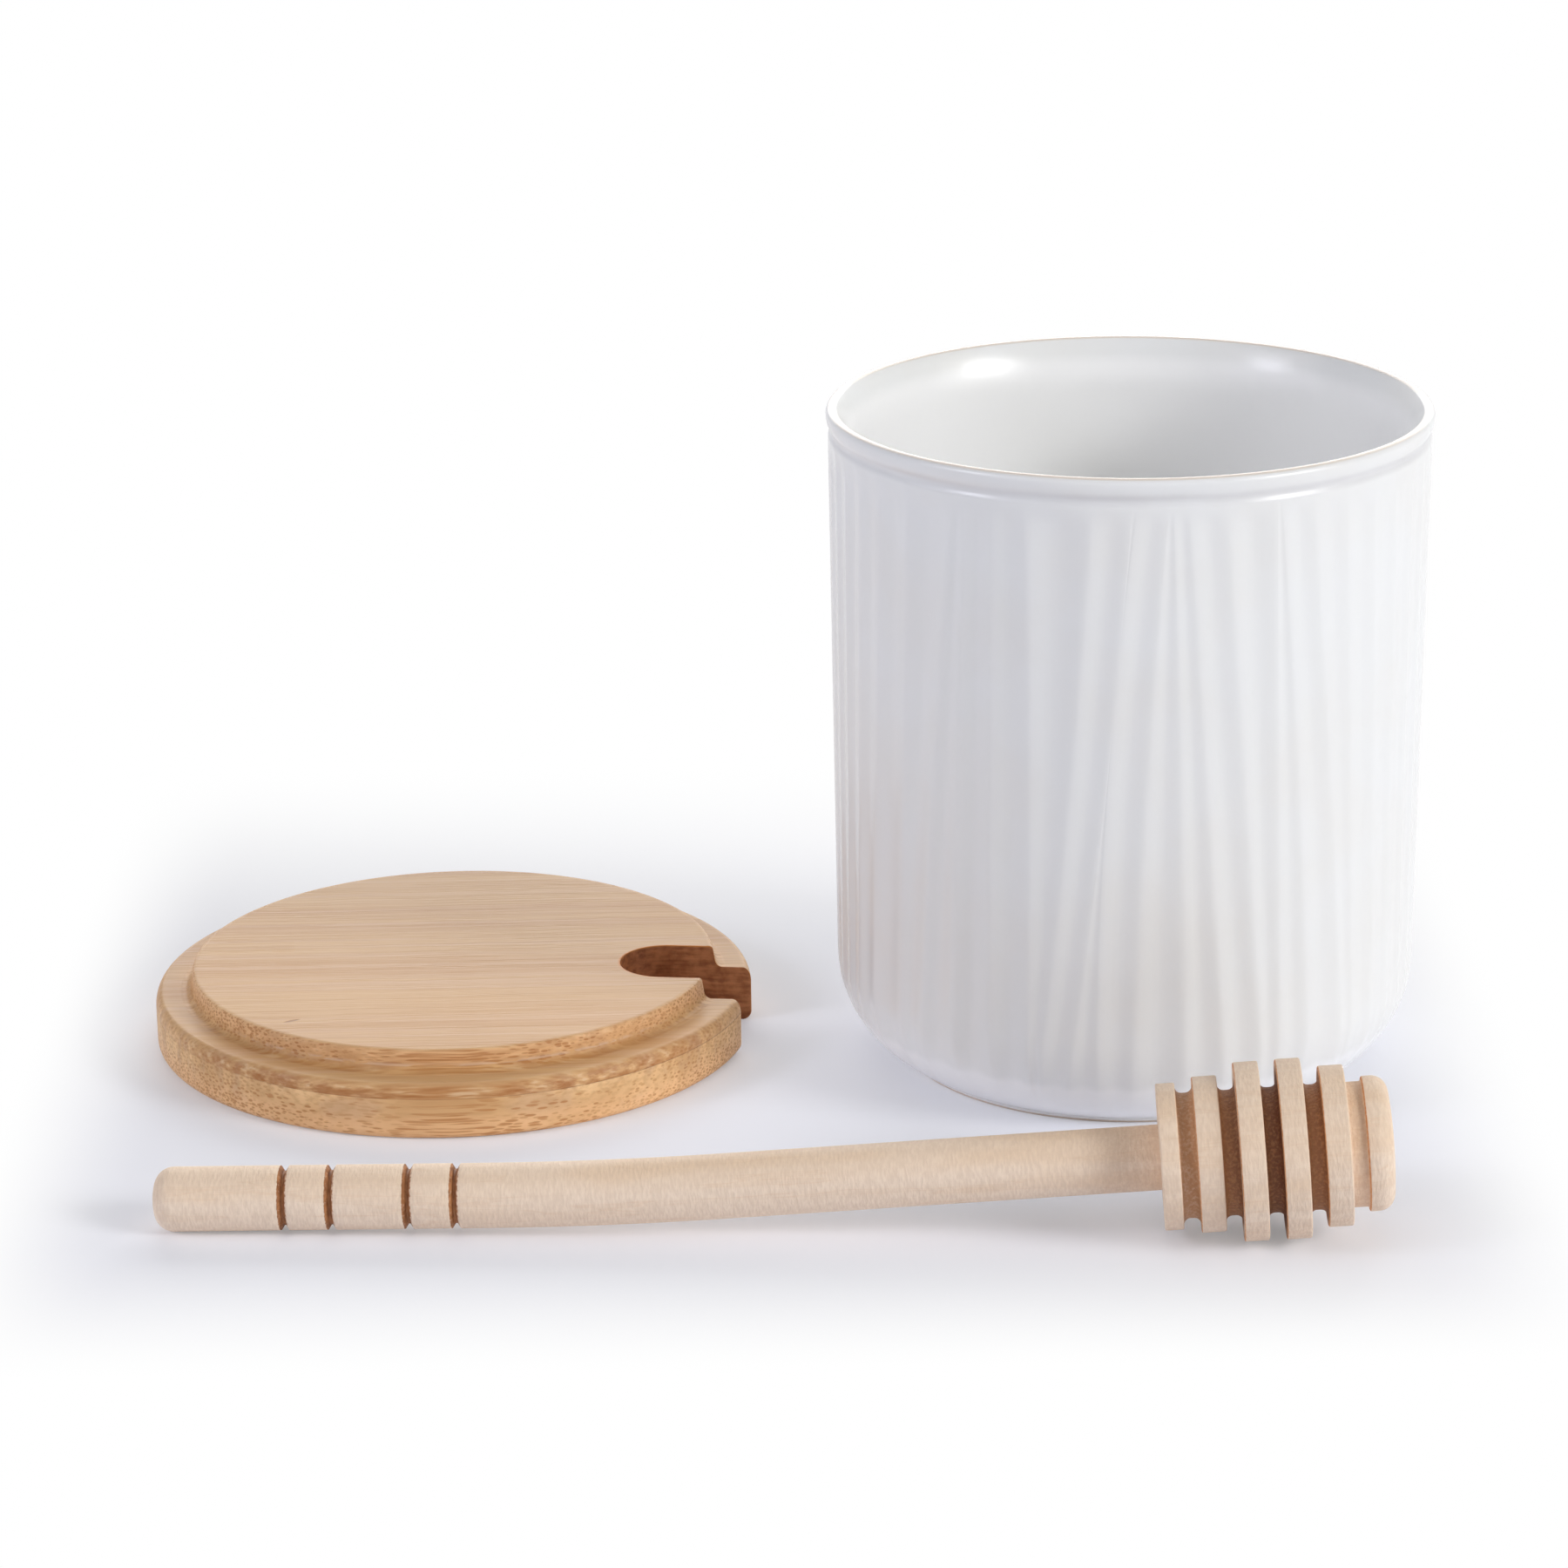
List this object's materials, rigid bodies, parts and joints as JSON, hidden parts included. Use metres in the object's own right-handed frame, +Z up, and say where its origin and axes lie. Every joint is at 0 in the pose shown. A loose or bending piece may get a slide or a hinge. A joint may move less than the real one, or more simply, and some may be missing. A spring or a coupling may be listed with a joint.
{
  "type": "lidded honey pot with dipper",
  "caption": "Fluted white stoneware honey pot with a loose bamboo lid, slotted for the stick of a turned wooden honey dipper.",
  "frame": {"origin": "centre of the pot's foot, on the table", "axes": "+Z up out of the pot's mouth, +X from the lid towards the pot and along the dipper, +Y away from the dipper"},
  "size_m": [0.1688, 0.1241, 0.0875],
  "materials": {
    "glazed_stoneware": "satin white glaze",
    "bamboo": "fine sanded, unvarnished",
    "pale_wood": "turned, unvarnished"
  },
  "bodies": {
    "pot": {"pot": "glazed_stoneware"},
    "lid": {"lid_cap_ply": "bamboo", "lid_plug_ply": "bamboo"},
    "dipper": {"dipper": "pale_wood"}
  },
  "joints": [
    {"name": "lid_lift", "type": "slide", "parent": "pot", "child": "lid", "axis": [0, 0, 1], "range_m": [0, 0.12]},
    {"name": "dipper_lift", "type": "slide", "parent": "pot", "child": "dipper", "axis": [0, 0, 1], "range_m": [0, 0.12]}
  ]
}
